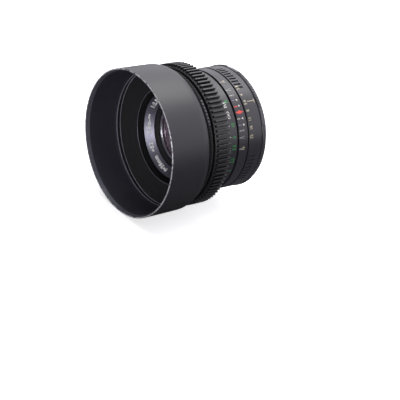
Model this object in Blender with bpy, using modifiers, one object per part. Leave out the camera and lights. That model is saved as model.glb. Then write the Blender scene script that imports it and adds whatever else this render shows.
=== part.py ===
"""Prime lens of 28 mm focal length with its screw-in hood, modelled piece by piece.

The lens lies on its side: the optical axis runs along Y, the front looks along -Y and +Z is up.
The origin is under the middle of the lens, on the surface that the hood lies on.

Every turned piece is drawn as a section in millimetres: (radius, depth), where depth is counted
backwards along the axis from the hood's front rim. Pieces that touch keep a running gap between
them, and pieces that turn or slide hang on an empty that stands on their own axis.
"""

from math import asin, atan2, cos, degrees, pi, radians, sin, sqrt

import bmesh
import bpy

MM = 0.001

# Overall sizes, in millimetres.
OVERALL_LENGTH = 70.5
HOOD_RADIUS = 37.5
HALF_LENGTH = OVERALL_LENGTH / 2
GAP = 0.3

# Angles are counted from +X towards +Z, in degrees, as seen from the front of the lens.
INDEX_ANGLE = 41.0
FORK_ANGLE = 215.0
STOP_DOWN_ANGLE = 300.0
CLICK_ANGLE = 130.0
KEY_ANGLES = (100.0, 280.0)
FOCUS_SCREW_ANGLES = (75.0, 195.0, 315.0)
MOUNT_SCREW_ANGLES = (0.0, 90.0, 180.0, 270.0)

# Turned pieces: how many flats go round. A flat always faces straight down.
COARSE = 24
MEDIUM = 32
FINE = 40

# Radii of the visible rings.
GRIP_RADIUS = 36.5
FOCUS_BAND_RADIUS = 31.2
INDEX_RADIUS = 31.4
APERTURE_RADIUS = 31.5
LOCK_RADIUS = 31.9
FILTER_THREAD_RADIUS = 26.1

# Depths of the rings along the axis.
GRIP_FRONT = 28.3
GRIP_REAR = 38.0
FOCUS_REAR = 45.4
INDEX_FRONT = 46.0
INDEX_REAR = 52.1
APERTURE_FRONT = 52.5
APERTURE_REAR = 61.2
LOCK_FRONT = 61.7
LOCK_REAR = 65.3
SEAT_DEPTH = 63.8

# Focusing: the ring turns through this angle, from infinity to the nearest distance.
FOCUS_ANGLE = 120.0

# Diaphragm: the ring turns half this angle each way from f/8.
APERTURE_ANGLE = 48.0
BLADE_COUNT = 6
PIVOT_RADIUS = 16.4
BLADE_THICKNESS = 0.15
BLADE_PITCH = BLADE_THICKNESS + GAP
FIRST_BLADE_DEPTH = 47.4
OPEN_RADIUS = 7.6
CLOSED_RADIUS = 1.0
BLADE_OUTER_RADIUS = 14.3
BLADE_ARM = 3.0
BLADE_PIN_RADIUS = 0.5
FIRST_PIVOT_ANGLE = 10.0
BLADE_SWING = degrees(2 * asin((OPEN_RADIUS - CLOSED_RADIUS) / (2 * PIVOT_RADIUS)))
DRIVE_ROD_RADIUS = 0.6
DRIVE_ROD_PLACE = 17.4

# Start clean.
for old in list(bpy.data.objects):
    bpy.data.objects.remove(old, do_unlink=True)

scene = bpy.context.scene
parts = bpy.data.collections.new("prime_camera_lens")
cutters = bpy.data.collections.new("cutters")
scene.collection.children.link(parts)
scene.collection.children.link(cutters)


# ---------------------------------------------------------------- materials

def finish(name, colour, roughness, metallic):
    """A plain Principled material."""
    material = bpy.data.materials.new(name)
    material.use_nodes = True
    shader = material.node_tree.nodes["Principled BSDF"]
    shader.inputs["Base Color"].default_value = (*colour, 1.0)
    shader.inputs["Roughness"].default_value = roughness
    shader.inputs["Metallic"].default_value = metallic
    return material


BLACK_PAINT = finish("black_paint", (0.020, 0.020, 0.023), 0.45, 0.3)
HOOD_BLACK = finish("hood_black", (0.026, 0.026, 0.029), 0.50, 0.2)
SATIN_BLACK = finish("satin_black", (0.030, 0.030, 0.034), 0.40, 0.4)
FLAT_BLACK = finish("flat_black", (0.012, 0.012, 0.013), 0.85, 0.0)
NAME_SILVER = finish("name_silver", (0.45, 0.44, 0.47), 0.35, 0.8)
BARE_ALUMINIUM = finish("bare_aluminium", (0.60, 0.61, 0.62), 0.35, 1.0)
BRASS = finish("brass", (0.62, 0.48, 0.22), 0.35, 1.0)
CHROME = finish("chrome", (0.70, 0.70, 0.71), 0.18, 1.0)
STEEL = finish("steel", (0.50, 0.50, 0.52), 0.30, 1.0)
BLADE_STEEL = finish("blade_steel", (0.09, 0.09, 0.10), 0.45, 0.9)
GLASS = finish("glass", (0.75, 0.70, 0.80), 0.03, 0.0)


# ---------------------------------------------------------------- axes that pieces hang on

def axis_empty(name, parent=None, place=(0.0, 0.0, 0.0), turn=0.0):
    """An empty on a joint's axis. Its local Z points forwards along the optical axis."""
    empty = bpy.data.objects.new(name, None)
    parts.objects.link(empty)
    if parent is None:
        empty.location = (0.0, 0.0, HOOD_RADIUS * MM)
        empty.rotation_euler = (radians(90.0), 0.0, 0.0)
    else:
        empty.parent = parent
        empty.location = place
        empty.rotation_euler = (0.0, 0.0, radians(turn))
    return empty


BARREL = axis_empty("barrel_axis")
FOCUS = axis_empty("focus_axis", BARREL)
OPTICS = axis_empty("optics_axis", BARREL)
DRIVE = axis_empty("iris_drive_axis", OPTICS)
APERTURE = axis_empty("aperture_axis", BARREL)
STOP_DOWN = axis_empty("stop_down_axis", BARREL)
LOCK = axis_empty("lock_axis", BARREL)
HOOD = axis_empty("hood_axis", OPTICS)


# ---------------------------------------------------------------- modelling helpers

def height(depth):
    """Local height, in metres, of a depth behind the hood's front rim."""
    return (HALF_LENGTH - depth) * MM


def polar(radius, angle):
    """A point in millimetres, from a radius and an angle in degrees."""
    return radius * cos(radians(angle)), radius * sin(radians(angle))


def add(name, mesh, material, parent, collection=parts):
    """Puts a mesh in the scene as a named piece."""
    piece = bpy.data.objects.new(name, mesh)
    collection.objects.link(piece)
    piece.parent = parent
    if material is not None:
        mesh.materials.append(material)
    if collection is cutters:
        piece.hide_render = True
        piece.display_type = "WIRE"
    return piece


def smooth(piece):
    """Smooth shading that keeps the turned edges crisp."""
    piece.data.shade_smooth()
    piece.data.set_sharp_from_angle(angle=radians(35.0))


def turned(name, section, flats, material, parent, collection=parts, closed=True):
    """Turns a section about the axis. It runs down its outer side, front to back."""
    half_flat = pi / flats
    mesh = bpy.data.meshes.new(name)
    points = []
    for radius, depth in section:
        corner = radius / cos(half_flat) * MM
        points.append((corner * cos(half_flat), corner * sin(half_flat), height(depth)))
    edges = [(i, i + 1) for i in range(len(points) - 1)]
    if closed:
        edges.append((len(points) - 1, 0))
    mesh.from_pydata(points, edges, [])
    piece = add(name, mesh, material, parent, collection)
    screw = piece.modifiers.new("Turn", "SCREW")
    screw.axis = "Z"
    screw.angle = 2 * pi
    screw.steps = flats
    screw.render_steps = flats
    screw.use_merge_vertices = True
    screw.merge_threshold = 0.00001
    screw.use_smooth_shade = False
    return piece


def plate(name, outlines, front, rear, material, parent, collection=parts):
    """A flat plate between two depths. The first outline is its edge, the others are holes."""
    curve = bpy.data.curves.new(name, "CURVE")
    curve.dimensions = "2D"
    curve.fill_mode = "BOTH"
    curve.extrude = (rear - front) / 2 * MM
    for outline in outlines:
        spline = curve.splines.new("POLY")
        spline.points.add(len(outline) - 1)
        for point, (x, y) in zip(spline.points, outline):
            point.co = (x * MM, y * MM, 0.0, 1.0)
        spline.use_cyclic_u = True
    shape = bpy.data.objects.new(name + "_outline", curve)
    scene.collection.objects.link(shape)
    bpy.context.view_layer.update()
    solid = shape.evaluated_get(bpy.context.evaluated_depsgraph_get())
    mesh = bpy.data.meshes.new_from_object(solid)
    bpy.data.objects.remove(shape, do_unlink=True)
    bpy.data.curves.remove(curve)
    middle = height((front + rear) / 2)
    body = bmesh.new()
    body.from_mesh(mesh)
    bmesh.ops.remove_doubles(body, verts=body.verts, dist=0.000001)
    bmesh.ops.translate(body, verts=body.verts, vec=(0.0, 0.0, middle))
    body.to_mesh(mesh)
    body.free()
    mesh.name = name
    mesh.materials.clear()
    return add(name, mesh, material, parent, collection)


def circle_outline(radius, flats, middle=(0.0, 0.0)):
    """The outline of a round plate or hole with a flat facing down."""
    corner = radius / cos(pi / flats)
    step = 360.0 / flats
    ring = [polar(corner, step * (i + 0.5)) for i in range(flats)]
    return [(middle[0] + x, middle[1] + y) for x, y in ring]


def sector_outline(inner, outer, start, end, steps):
    """The outline of part of a ring, between two angles."""
    sweep = [start + (end - start) * i / steps for i in range(steps + 1)]
    return [polar(outer, a) for a in sweep] + [polar(inner, a) for a in reversed(sweep)]


def rod(name, radius, place, front, rear, material, parent, collection=parts, sides=12):
    """A rod that lies along the optical axis."""
    mesh = bpy.data.meshes.new(name)
    body = bmesh.new()
    bmesh.ops.create_cone(
        body, cap_ends=True, segments=sides, radius1=radius * MM, radius2=radius * MM,
        depth=(rear - front) * MM)
    middle = (place[0] * MM, place[1] * MM, height((front + rear) / 2))
    bmesh.ops.translate(body, verts=body.verts, vec=middle)
    body.to_mesh(mesh)
    body.free()
    return add(name, mesh, material, parent, collection)


def radial_rod(name, radius, angle, depth, inner, outer, material, parent, collection=parts):
    """A rod that points outwards from the optical axis, such as a screw in a ring."""
    mesh = bpy.data.meshes.new(name)
    body = bmesh.new()
    bmesh.ops.create_cone(
        body, cap_ends=True, segments=12, radius1=radius * MM, radius2=radius * MM,
        depth=(outer - inner) * MM)
    body.to_mesh(mesh)
    body.free()
    piece = add(name, mesh, material, parent, collection)
    x, y = polar((inner + outer) / 2, angle)
    piece.location = (x * MM, y * MM, height(depth))
    piece.rotation_euler = (0.0, radians(90.0), radians(angle))
    return piece


def boolean(piece, cutter, operation="DIFFERENCE"):
    """Cuts a piece with a cutter, or joins a cutter to it."""
    cut = piece.modifiers.new(cutter.name, "BOOLEAN")
    cut.operation = operation
    cut.solver = "EXACT"
    cut.object = cutter


def block(name, size, angle, radius, depth, material, parent, collection=parts):
    """A box: its size is (radial, tangential, along the axis)."""
    mesh = bpy.data.meshes.new(name)
    body = bmesh.new()
    bmesh.ops.create_cube(body, size=1.0)
    bmesh.ops.scale(body, verts=body.verts, vec=[length * MM for length in size])
    body.to_mesh(mesh)
    body.free()
    piece = add(name, mesh, material, parent, collection)
    x, y = polar(radius, angle)
    piece.location = (x * MM, y * MM, height(depth))
    piece.rotation_euler = (0.0, 0.0, radians(angle))
    return piece


def sag(radius, at):
    """How far a ball of this radius has fallen away at a distance from its pole."""
    return radius - sqrt(radius * radius - at * at)


def lens_element(name, edge, front, rear, flats=COARSE):
    """A glass element. Each face is (pole depth, radius of curvature, clear radius).

    A positive radius bulges forwards and a negative one bulges backwards.
    """
    steps = 3
    section = []
    for pole, curvature, clear in (front, rear):
        side = 1.0 if curvature > 0 else -1.0
        face = []
        for i in range(steps + 1):
            at = clear * i / steps
            face.append((at, pole + side * sag(abs(curvature), at)))
        if clear < edge:
            face.append((edge, face[-1][1]))
        section.append(face)
    outline = section[0] + section[1][::-1]
    return turned(name, outline, flats, GLASS, OPTICS, closed=False)


# ---------------------------------------------------------------- hood

def build_hood():
    """The hood: a deep turned shell on a knurled collar that screws into the filter thread."""
    outer_side = [(37.2, 0.0), (HOOD_RADIUS, 0.35), (37.3, 19.5), (36.9, 21.9), (36.0, 23.5), (34.6, 24.3)]
    rear_wall = [(30.0, 25.2), (24.6, 25.2), (24.6, 24.3)]
    inner_side = [(35.3, 20.7), (35.3, 18.2), (34.9, 17.8), (34.9, 17.2)]
    inner_side += [(35.6, 16.6), (36.1, 3.2), (36.7, 2.6)]
    turned("hood_shell", outer_side + rear_wall + inner_side + [(36.7, 0.0)], FINE, HOOD_BLACK, HOOD)

    thread = FILTER_THREAD_RADIUS - GAP
    collar = [(34.2, 25.5), (34.4, 25.8), (34.4, 27.2), (34.2, 27.5), (thread, 27.5)]
    turned("hood_collar", collar + [(thread, 30.6), (24.7, 30.6), (24.7, 25.5)], FINE, SATIN_BLACK, HOOD)


# ---------------------------------------------------------------- front of the lens

def build_front():
    """The filter ring, the silver name ring, the black cone and the cell of the front elements."""
    filter_ring = [(29.4, 27.9), (29.4, 32.2), (23.4, 32.2), (23.4, 31.2)]
    filter_ring += [(FILTER_THREAD_RADIUS, 31.2), (FILTER_THREAD_RADIUS, 27.9)]
    turned("filter_ring", filter_ring, MEDIUM, SATIN_BLACK, OPTICS)

    name_ring = [(22.3, 26.8), (22.8, 27.1), (22.8, 31.4), (18.3, 31.4), (18.3, 30.3)]
    turned("name_ring", name_ring, MEDIUM, NAME_SILVER, OPTICS)

    turned("front_cone_ring", [(18.0, 30.7), (18.0, 32.5), (16.4, 32.5), (16.4, 32.0)],
           COARSE, FLAT_BLACK, OPTICS)
    turned("front_retaining_ring", [(16.0, 32.2), (16.0, 33.0), (14.8, 33.0), (14.8, 32.6)],
           COARSE, BARE_ALUMINIUM, OPTICS)

    outer_side = [(22.8, 31.7), (22.8, 32.3), (19.5, 32.3), (19.5, 36.5), (15.4, 40.5), (15.4, 46.0)]
    bores = [(10.3, 46.0), (10.3, 42.6), (9.2, 42.6), (9.2, 41.9), (12.9, 41.9), (12.9, 38.4)]
    mouth = [(16.3, 38.4), (16.3, 32.8), (18.3, 32.8), (18.3, 31.7)]
    turned("front_cell", outer_side + bores + mouth, COARSE, BLACK_PAINT, OPTICS)

    lens_element("lens_1", 15.9, (31.0, 45.0, 15.9), (32.96, 19.0, 13.0))
    lens_element("lens_2", 12.6, (36.6, 32.0, 12.6), (41.3, -70.0, 12.6))
    turned("lens_spacer", [(12.6, 40.7), (12.6, 41.6), (11.4, 41.6), (11.4, 40.7)],
           COARSE, FLAT_BLACK, OPTICS)
    lens_element("lens_3", 10.0, (43.3, -120.0, 10.0), (44.26, 22.0, 7.0))
    turned("lens_3_retaining_ring", [(10.0, 45.7), (10.0, 46.0), (8.2, 46.0), (8.2, 45.7)],
           COARSE, FLAT_BLACK, OPTICS)


# ---------------------------------------------------------------- diaphragm

def blade_outline():
    """A crescent blade, fully open, about its pivot at (PIVOT_RADIUS, 0)."""
    inner_edge = [polar(OPEN_RADIUS, 150.0 - 15.0 * i) for i in range(10)]
    root = [(15.4, -0.9), (16.4, -1.3), (17.4, -0.9), (17.8, 0.6), (17.8, 3.4), (17.2, 4.3), (15.6, 4.6)]
    outer_edge = [polar(BLADE_OUTER_RADIUS, 22.0 + 16.0 * i) for i in range(9)]
    return [(x - PIVOT_RADIUS, y) for x, y in inner_edge + root + outer_edge]


def drive_slot(pivot_angle):
    """The cam slot that one blade's pin runs in as the drive ring turns."""
    half_width = BLADE_PIN_RADIUS + GAP
    steps = 8
    middle_line = []
    for i in range(-1, steps + 2):
        state = -1.0 + 2.0 * min(max(i, -0.35), steps + 0.35) / steps
        blade_turn = pivot_angle + BLADE_SWING / 2 * (1.0 + state)
        ring_turn = APERTURE_ANGLE / 2 * state
        pivot = polar(PIVOT_RADIUS, pivot_angle)
        arm = polar(BLADE_ARM, blade_turn + 90.0)
        x = pivot[0] + arm[0]
        y = pivot[1] + arm[1]
        radius = sqrt(x * x + y * y)
        angle = degrees(atan2(y, x)) - ring_turn
        middle_line.append((radius, angle))
    outer = [polar(radius + half_width, angle) for radius, angle in middle_line]
    inner = [polar(radius - half_width, angle) for radius, angle in reversed(middle_line)]
    return outer + inner


def build_diaphragm():
    """Six blades between the housing that they pivot in and the ring whose slots drive them."""
    plate_rear = FIRST_BLADE_DEPTH - GAP
    cup = [(21.5, 46.3), (21.5, 52.2), (18.9, 52.2), (18.9, plate_rear), (8.6, plate_rear), (8.6, 46.3)]
    housing = turned("iris_housing", cup, MEDIUM, BLACK_PAINT, OPTICS)

    pin_hole = BLADE_PIN_RADIUS + GAP
    outline = blade_outline()
    drive_front = FIRST_BLADE_DEPTH + BLADE_COUNT * BLADE_PITCH
    drive_rear = drive_front + 0.8
    for number in range(BLADE_COUNT):
        pivot_angle = FIRST_PIVOT_ANGLE + 360.0 / BLADE_COUNT * number
        place = polar(PIVOT_RADIUS, pivot_angle)
        hole = rod(f"pivot_hole_{number + 1}", pin_hole, place, 46.0, plate_rear + GAP, None, OPTICS, cutters)
        boolean(housing, hole)

        pivot = axis_empty(f"iris_blade_{number + 1}_axis", OPTICS, (place[0] * MM, place[1] * MM, 0.0),
                           pivot_angle + BLADE_SWING / 2)
        front = FIRST_BLADE_DEPTH + BLADE_PITCH * number
        rear = front + BLADE_THICKNESS
        name = f"iris_blade_{number + 1}"
        blade = plate(name, [outline], front, rear, BLADE_STEEL, pivot)
        middle = (front + rear) / 2
        pivot_pin = rod(name + "_pivot", BLADE_PIN_RADIUS, (0.0, 0.0), 46.4, middle, None, pivot, cutters)
        drive_pin = rod(name + "_pin", BLADE_PIN_RADIUS, (0.0, BLADE_ARM), middle, drive_rear - 0.1,
                        None, pivot, cutters)
        boolean(blade, pivot_pin, "UNION")
        boolean(blade, drive_pin, "UNION")

    slots = [drive_slot(FIRST_PIVOT_ANGLE + 360.0 / BLADE_COUNT * number) for number in range(BLADE_COUNT)]
    ring_edges = [circle_outline(18.6, MEDIUM), circle_outline(9.4, MEDIUM)]
    drive_ring = plate("iris_drive_ring", ring_edges + slots, drive_front, drive_rear, STEEL, DRIVE)
    rod_place = polar(DRIVE_ROD_PLACE, FORK_ANGLE)
    rod_front = drive_rear - 0.4
    drive_rod = rod("iris_drive_rod", DRIVE_ROD_RADIUS, rod_place, rod_front, 60.6, None, DRIVE, cutters)
    boolean(drive_ring, drive_rod, "UNION")

    sweep = APERTURE_ANGLE / 2 + 5.0
    notch = [polar(16.4, FORK_ANGLE + sweep - 2 * sweep * i / 8) for i in range(9)]
    rim_start = FORK_ANGLE + sweep
    rim = [polar(18.6, rim_start + (360.0 - 2 * sweep) * i / 28) for i in range(29)]
    plate("iris_cover", [rim + notch[::-1], circle_outline(9.0, COARSE)], drive_rear + GAP, 52.2,
          BLACK_PAINT, OPTICS)


# ---------------------------------------------------------------- rear elements

def build_rear_optics():
    """The rear cell with four elements, their spacer and the ring that keeps them in."""
    outer_side = [(16.0, 52.5), (16.0, 53.3), (12.2, 53.3), (12.2, 65.8)]
    bores = [(10.5, 65.8), (10.5, 63.4), (9.5, 63.4), (9.5, 59.7), (8.5, 59.7), (8.5, 53.3), (7.6, 53.3)]
    turned("rear_cell", outer_side + bores + [(7.6, 52.5)], COARSE, BLACK_PAINT, OPTICS)
    lens_element("lens_4", 8.2, (54.5, -38.0, 8.2), (55.4, 18.0, 8.2))
    lens_element("lens_5", 8.2, (55.7, 18.0, 8.2), (60.0, -22.0, 8.2))
    lens_element("lens_6", 9.2, (60.7, -60.0, 9.2), (62.9, -24.0, 9.2))
    turned("rear_spacer", [(9.2, 61.9), (9.2, 63.1), (8.6, 63.1), (8.6, 61.9)], COARSE, FLAT_BLACK, OPTICS)
    lens_element("lens_7", 10.2, (63.5, 200.0, 10.2), (65.8, -36.0, 10.2))
    turned("rear_retaining_ring", [(10.2, 64.95), (10.2, 65.8), (9.0, 65.8), (9.0, 64.95)],
           COARSE, SATIN_BLACK, OPTICS)


# ---------------------------------------------------------------- focusing

def build_focusing():
    """The grip and scale ring on the outer helicoid, which drives the inner one forwards."""
    grip = [(35.9, GRIP_FRONT), (GRIP_RADIUS, 29.0), (GRIP_RADIUS, 36.4), (35.2, GRIP_REAR)]
    bore = FOCUS_BAND_RADIUS + GAP
    turned("focus_grip", grip + [(bore, GRIP_REAR), (bore, GRIP_FRONT)], FINE, SATIN_BLACK, FOCUS)

    band = [(FOCUS_BAND_RADIUS, 28.9), (FOCUS_BAND_RADIUS, FOCUS_REAR), (29.9, FOCUS_REAR), (29.9, 28.9)]
    focus_ring = turned("focus_ring", band, FINE, BLACK_PAINT, FOCUS)
    thread = [(29.6, 34.3), (29.6, 45.8), (28.2, 45.8), (28.2, 34.3)]
    outer_helicoid = turned("outer_helicoid", thread, MEDIUM, BRASS, FOCUS)
    for number, angle in enumerate(FOCUS_SCREW_ANGLES, start=1):
        hole = radial_rod(f"focus_screw_hole_{number}", 0.9, angle, 36.5, 27.6, 32.0, None, FOCUS, cutters)
        boolean(focus_ring, hole)
        boolean(outer_helicoid, hole)
        radial_rod(f"focus_screw_{number}", 0.6, angle, 36.5, 28.4, 31.0, STEEL, FOCUS)

    # The stop pin stands in the barrel's shoulder and runs in an open slot of the helicoid's edge.
    stop_angle = 150.0
    clearance = 3.0
    slot = sector_outline(28.0, 29.9, stop_angle - FOCUS_ANGLE - clearance, stop_angle + clearance, 24)
    boolean(outer_helicoid, plate("stop_slot", [slot], 44.6, 46.0, None, FOCUS, cutters))
    rod("focus_stop_pin", 0.5, polar(28.2, stop_angle), 44.9, 45.9, STEEL, BARREL)

    cup = [(27.9, 32.6), (27.9, 44.6), (26.9, 44.6), (26.9, 34.1), (19.8, 34.1), (19.8, 32.6)]
    inner_helicoid = turned("inner_helicoid", cup, MEDIUM, BARE_ALUMINIUM, OPTICS)
    for number, angle in enumerate(KEY_ANGLES, start=1):
        keyway = block(f"keyway_{number}", (4.0, 3.0, 9.6), angle, 27.4, 40.4, None, OPTICS, cutters)
        boolean(inner_helicoid, keyway)
        block(f"guide_key_{number}", (0.8, 2.4, 5.0), angle, 27.4, 41.0, BRASS, BARREL)


# ---------------------------------------------------------------- fixed barrel and aperture ring

def coil_spring(name, angle, depth, inner, outer, coil_radius, wire_radius, turns, material, parent):
    """A small coil spring that points outwards from the axis."""
    points_per_turn = 10
    count = int(turns * points_per_turn)
    curve = bpy.data.curves.new(name, "CURVE")
    curve.dimensions = "3D"
    curve.bevel_depth = wire_radius * MM
    curve.bevel_resolution = 1
    curve.use_fill_caps = True
    spline = curve.splines.new("POLY")
    spline.points.add(count)
    for i, point in enumerate(spline.points):
        turn = 2 * pi * i / points_per_turn
        rise = inner + wire_radius + (outer - inner - 2 * wire_radius) * i / count
        point.co = (coil_radius * cos(turn) * MM, coil_radius * sin(turn) * MM, rise * MM, 1.0)
    shape = bpy.data.objects.new(name + "_wire", curve)
    scene.collection.objects.link(shape)
    bpy.context.view_layer.update()
    solid = shape.evaluated_get(bpy.context.evaluated_depsgraph_get())
    mesh = bpy.data.meshes.new_from_object(solid)
    bpy.data.objects.remove(shape, do_unlink=True)
    bpy.data.curves.remove(curve)
    body = bmesh.new()
    body.from_mesh(mesh)
    bmesh.ops.remove_doubles(body, verts=body.verts, dist=0.000001)
    body.to_mesh(mesh)
    body.free()
    mesh.materials.clear()
    piece = add(name, mesh, material, parent)
    piece.location = (0.0, 0.0, height(depth))
    piece.rotation_euler = (0.0, radians(90.0), radians(angle))
    return piece


def build_barrel():
    """The fixed barrel, its index ring, and the click ball under the aperture ring."""
    tube = [(26.6, 35.0), (26.6, 46.2), (28.8, 46.2), (28.8, 61.4), (25.0, 61.4), (25.0, 35.0)]
    barrel = turned("main_barrel", tube, MEDIUM, BLACK_PAINT, BARREL)
    sweep = APERTURE_ANGLE / 2 + 7.0
    window = sector_outline(23.0, 31.0, FORK_ANGLE - sweep, FORK_ANGLE + sweep, 12)
    boolean(barrel, plate("fork_window", [window], 54.6, 57.0, None, BARREL, cutters))
    click_depth = 59.0
    click_hole = radial_rod("click_hole", 1.2, CLICK_ANGLE, click_depth, 25.5, 30.0, None, BARREL, cutters)
    boolean(barrel, click_hole)

    band = [(INDEX_RADIUS, INDEX_FRONT), (INDEX_RADIUS, INDEX_REAR), (29.1, INDEX_REAR), (29.1, INDEX_FRONT)]
    turned("index_ring", band, FINE, BLACK_PAINT, BARREL)

    ball = bpy.data.meshes.new("click_ball")
    body = bmesh.new()
    bmesh.ops.create_uvsphere(body, u_segments=12, v_segments=8, radius=0.8 * MM)
    body.to_mesh(ball)
    body.free()
    piece = add("click_ball", ball, STEEL, BARREL)
    x, y = polar(28.0, CLICK_ANGLE)
    piece.location = (x * MM, y * MM, height(click_depth))
    coil_spring("click_spring", CLICK_ANGLE, click_depth, 25.8, 26.9, 0.6, 0.12, 3.0, STEEL, BARREL)
    return barrel


def build_aperture_ring():
    """The aperture ring and the fork that reaches in from it to the diaphragm's drive rod."""
    band = [(APERTURE_RADIUS, APERTURE_FRONT), (APERTURE_RADIUS, APERTURE_REAR), (29.1, APERTURE_REAR)]
    turned("aperture_ring", band + [(29.1, APERTURE_FRONT)], FINE, BLACK_PAINT, APERTURE)

    slot_half = DRIVE_ROD_RADIUS + GAP
    tine = 1.2
    half = slot_half + tine
    arm_half = 1.2
    outline = [(28.8, -arm_half), (28.8, arm_half), (19.8, arm_half), (19.0, half), (16.3, half)]
    outline += [(16.3, slot_half), (18.3, slot_half), (18.3, -slot_half), (16.3, -slot_half)]
    outline += [(16.3, -half), (19.0, -half), (19.8, -arm_half)]
    turn = radians(FORK_ANGLE)
    placed = [(x * cos(turn) - y * sin(turn), x * sin(turn) + y * cos(turn)) for x, y in outline]
    plate("aperture_fork", [placed], 55.0, 56.6, STEEL, APERTURE)


# ---------------------------------------------------------------- rear mount

def build_mount(barrel):
    """The mount's seat, its screws and locating pin, the lock ring, and the stop-down lever."""
    seat = [(28.6, LOCK_FRONT), (28.6, SEAT_DEPTH), (22.2, SEAT_DEPTH), (22.2, LOCK_FRONT)]
    mount_plate = turned("mount_plate", seat, MEDIUM, CHROME, BARREL)
    screw_place = 26.5
    head_front = SEAT_DEPTH - 1.0
    for number, angle in enumerate(MOUNT_SCREW_ANGLES, start=1):
        place = polar(screw_place, angle)
        name = f"screw_sink_{number}"
        sink = rod(name, 1.6, place, head_front - GAP, SEAT_DEPTH + GAP, None, BARREL, cutters)
        shank_hole = rod(f"screw_hole_{number}", 1.0, place, 58.6, head_front, None, BARREL, cutters)
        boolean(mount_plate, sink)
        boolean(mount_plate, shank_hole)
        boolean(barrel, shank_hole)
        name = f"mount_screw_{number}"
        head = rod(name, 1.3, place, head_front, SEAT_DEPTH - 0.1, STEEL, BARREL)
        shank = rod(name + "_shank", 0.7, place, 59.0, head_front + 0.3, None, BARREL, cutters)
        boolean(head, shank, "UNION")
        slot = block(name + "_slot", (3.4, 0.4, 0.6), angle + 25.0, 0.0, SEAT_DEPTH, None, BARREL, cutters)
        slot.location = (place[0] * MM, place[1] * MM, height(SEAT_DEPTH))
        boolean(head, slot)

    pin_place = polar(23.9, INDEX_ANGLE)
    pin_front = 62.3
    pin_hole = rod("pin_hole", 1.1, pin_place, pin_front - GAP, SEAT_DEPTH + GAP, None, BARREL, cutters)
    boolean(mount_plate, pin_hole)
    rod("mount_pin", 0.8, pin_place, pin_front, SEAT_DEPTH + 1.4, STEEL, BARREL)

    lug_front = SEAT_DEPTH + 0.7
    band = [(31.4, LOCK_FRONT), (LOCK_RADIUS, 62.2), (LOCK_RADIUS, 63.4), (31.4, 63.9)]
    neck = [(29.9, 63.9), (29.9, LOCK_REAR)]
    lugs = [(27.2, LOCK_REAR), (27.2, lug_front), (28.9, lug_front), (28.9, LOCK_FRONT)]
    lock_ring = turned("lock_ring", band + neck + lugs, FINE, SATIN_BLACK, LOCK)
    for number in range(3):
        start = 90.0 + 120.0 * number
        gap = sector_outline(25.0, 29.4, start, start + 60.0, 8)
        cutter = plate(f"lug_gap_{number + 1}", [gap], lug_front - GAP, LOCK_REAR + GAP, None, LOCK, cutters)
        boolean(lock_ring, cutter)

    ring = [(24.6, 58.9), (24.6, 60.0), (20.0, 60.0), (20.0, 58.9)]
    stop_down = turned("stop_down_ring", ring, MEDIUM, STEEL, STOP_DOWN)
    lever = block("stop_down_lever", (1.6, 3.0, 8.6), STOP_DOWN_ANGLE, 20.9, 63.7, None, STOP_DOWN, cutters)
    boolean(stop_down, lever, "UNION")

    guard = [(24.7, 60.3), (24.7, 61.1), (19.6, 61.1), (19.6, OVERALL_LENGTH)]
    guard += [(18.6, OVERALL_LENGTH), (18.6, 60.3)]
    rear_guard = turned("rear_guard", guard, MEDIUM, BLACK_PAINT, BARREL)
    start = STOP_DOWN_ANGLE - 8.0
    window = sector_outline(19.85, 22.1, start, start + 32.0, 8)
    boolean(rear_guard, plate("lever_window", [window], 60.0, 61.4, None, BARREL, cutters))

    baffle = [(18.3, 68.0), (18.3, 68.8), (13.2, 68.8), (13.2, 68.0)]
    turned("rear_baffle", baffle, COARSE, FLAT_BLACK, BARREL)


build_hood()
build_front()
build_diaphragm()
build_rear_optics()
build_focusing()
main_barrel = build_barrel()
build_aperture_ring()
build_mount(main_barrel)

for part in parts.objects:
    if part.type == "MESH":
        smooth(part)
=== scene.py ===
"""A 28 mm prime lens with its screw-in hood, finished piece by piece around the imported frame.

The lens lies on its side. Its optical axis runs along Y and the hood's rim faces -Y. A place on a
turned piece is given as (radius, depth) in millimetres, where depth is counted backwards from the
hood's rim, and as an angle in degrees from +X towards +Z, as seen from the front.
"""
from math import atan2, cos, degrees, hypot, pi, radians, sin, sqrt

import bmesh
import bpy
from mathutils import Matrix, Vector


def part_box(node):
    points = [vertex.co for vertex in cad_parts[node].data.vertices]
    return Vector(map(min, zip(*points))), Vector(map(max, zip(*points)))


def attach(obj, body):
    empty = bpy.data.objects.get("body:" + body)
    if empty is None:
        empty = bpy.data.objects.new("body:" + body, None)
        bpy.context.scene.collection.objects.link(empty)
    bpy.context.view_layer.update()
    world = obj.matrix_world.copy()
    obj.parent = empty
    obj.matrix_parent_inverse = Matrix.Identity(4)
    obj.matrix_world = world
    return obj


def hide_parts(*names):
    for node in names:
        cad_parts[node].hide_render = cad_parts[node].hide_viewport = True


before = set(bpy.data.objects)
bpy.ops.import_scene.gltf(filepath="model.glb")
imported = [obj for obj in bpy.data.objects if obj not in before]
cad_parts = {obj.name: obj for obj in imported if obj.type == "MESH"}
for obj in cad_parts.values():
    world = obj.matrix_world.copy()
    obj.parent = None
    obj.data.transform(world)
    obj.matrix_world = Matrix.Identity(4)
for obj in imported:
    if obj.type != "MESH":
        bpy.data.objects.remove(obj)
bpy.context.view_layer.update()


# ------------------------------------------------------------------ index ring
# The fixed ring between the two that turn: aluminium, turned on a lathe, anodised black and
# engraved with the red index and the depth of field marks, which are filled with paint.

MM = 0.001
hood_low, hood_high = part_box("hood_shell")
FRONT = hood_low[1]
AXIS_X = (hood_low[0] + hood_high[0]) / 2
AXIS_Z = (hood_low[2] + hood_high[2]) / 2
INDEX_ANGLE = 41.0


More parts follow.
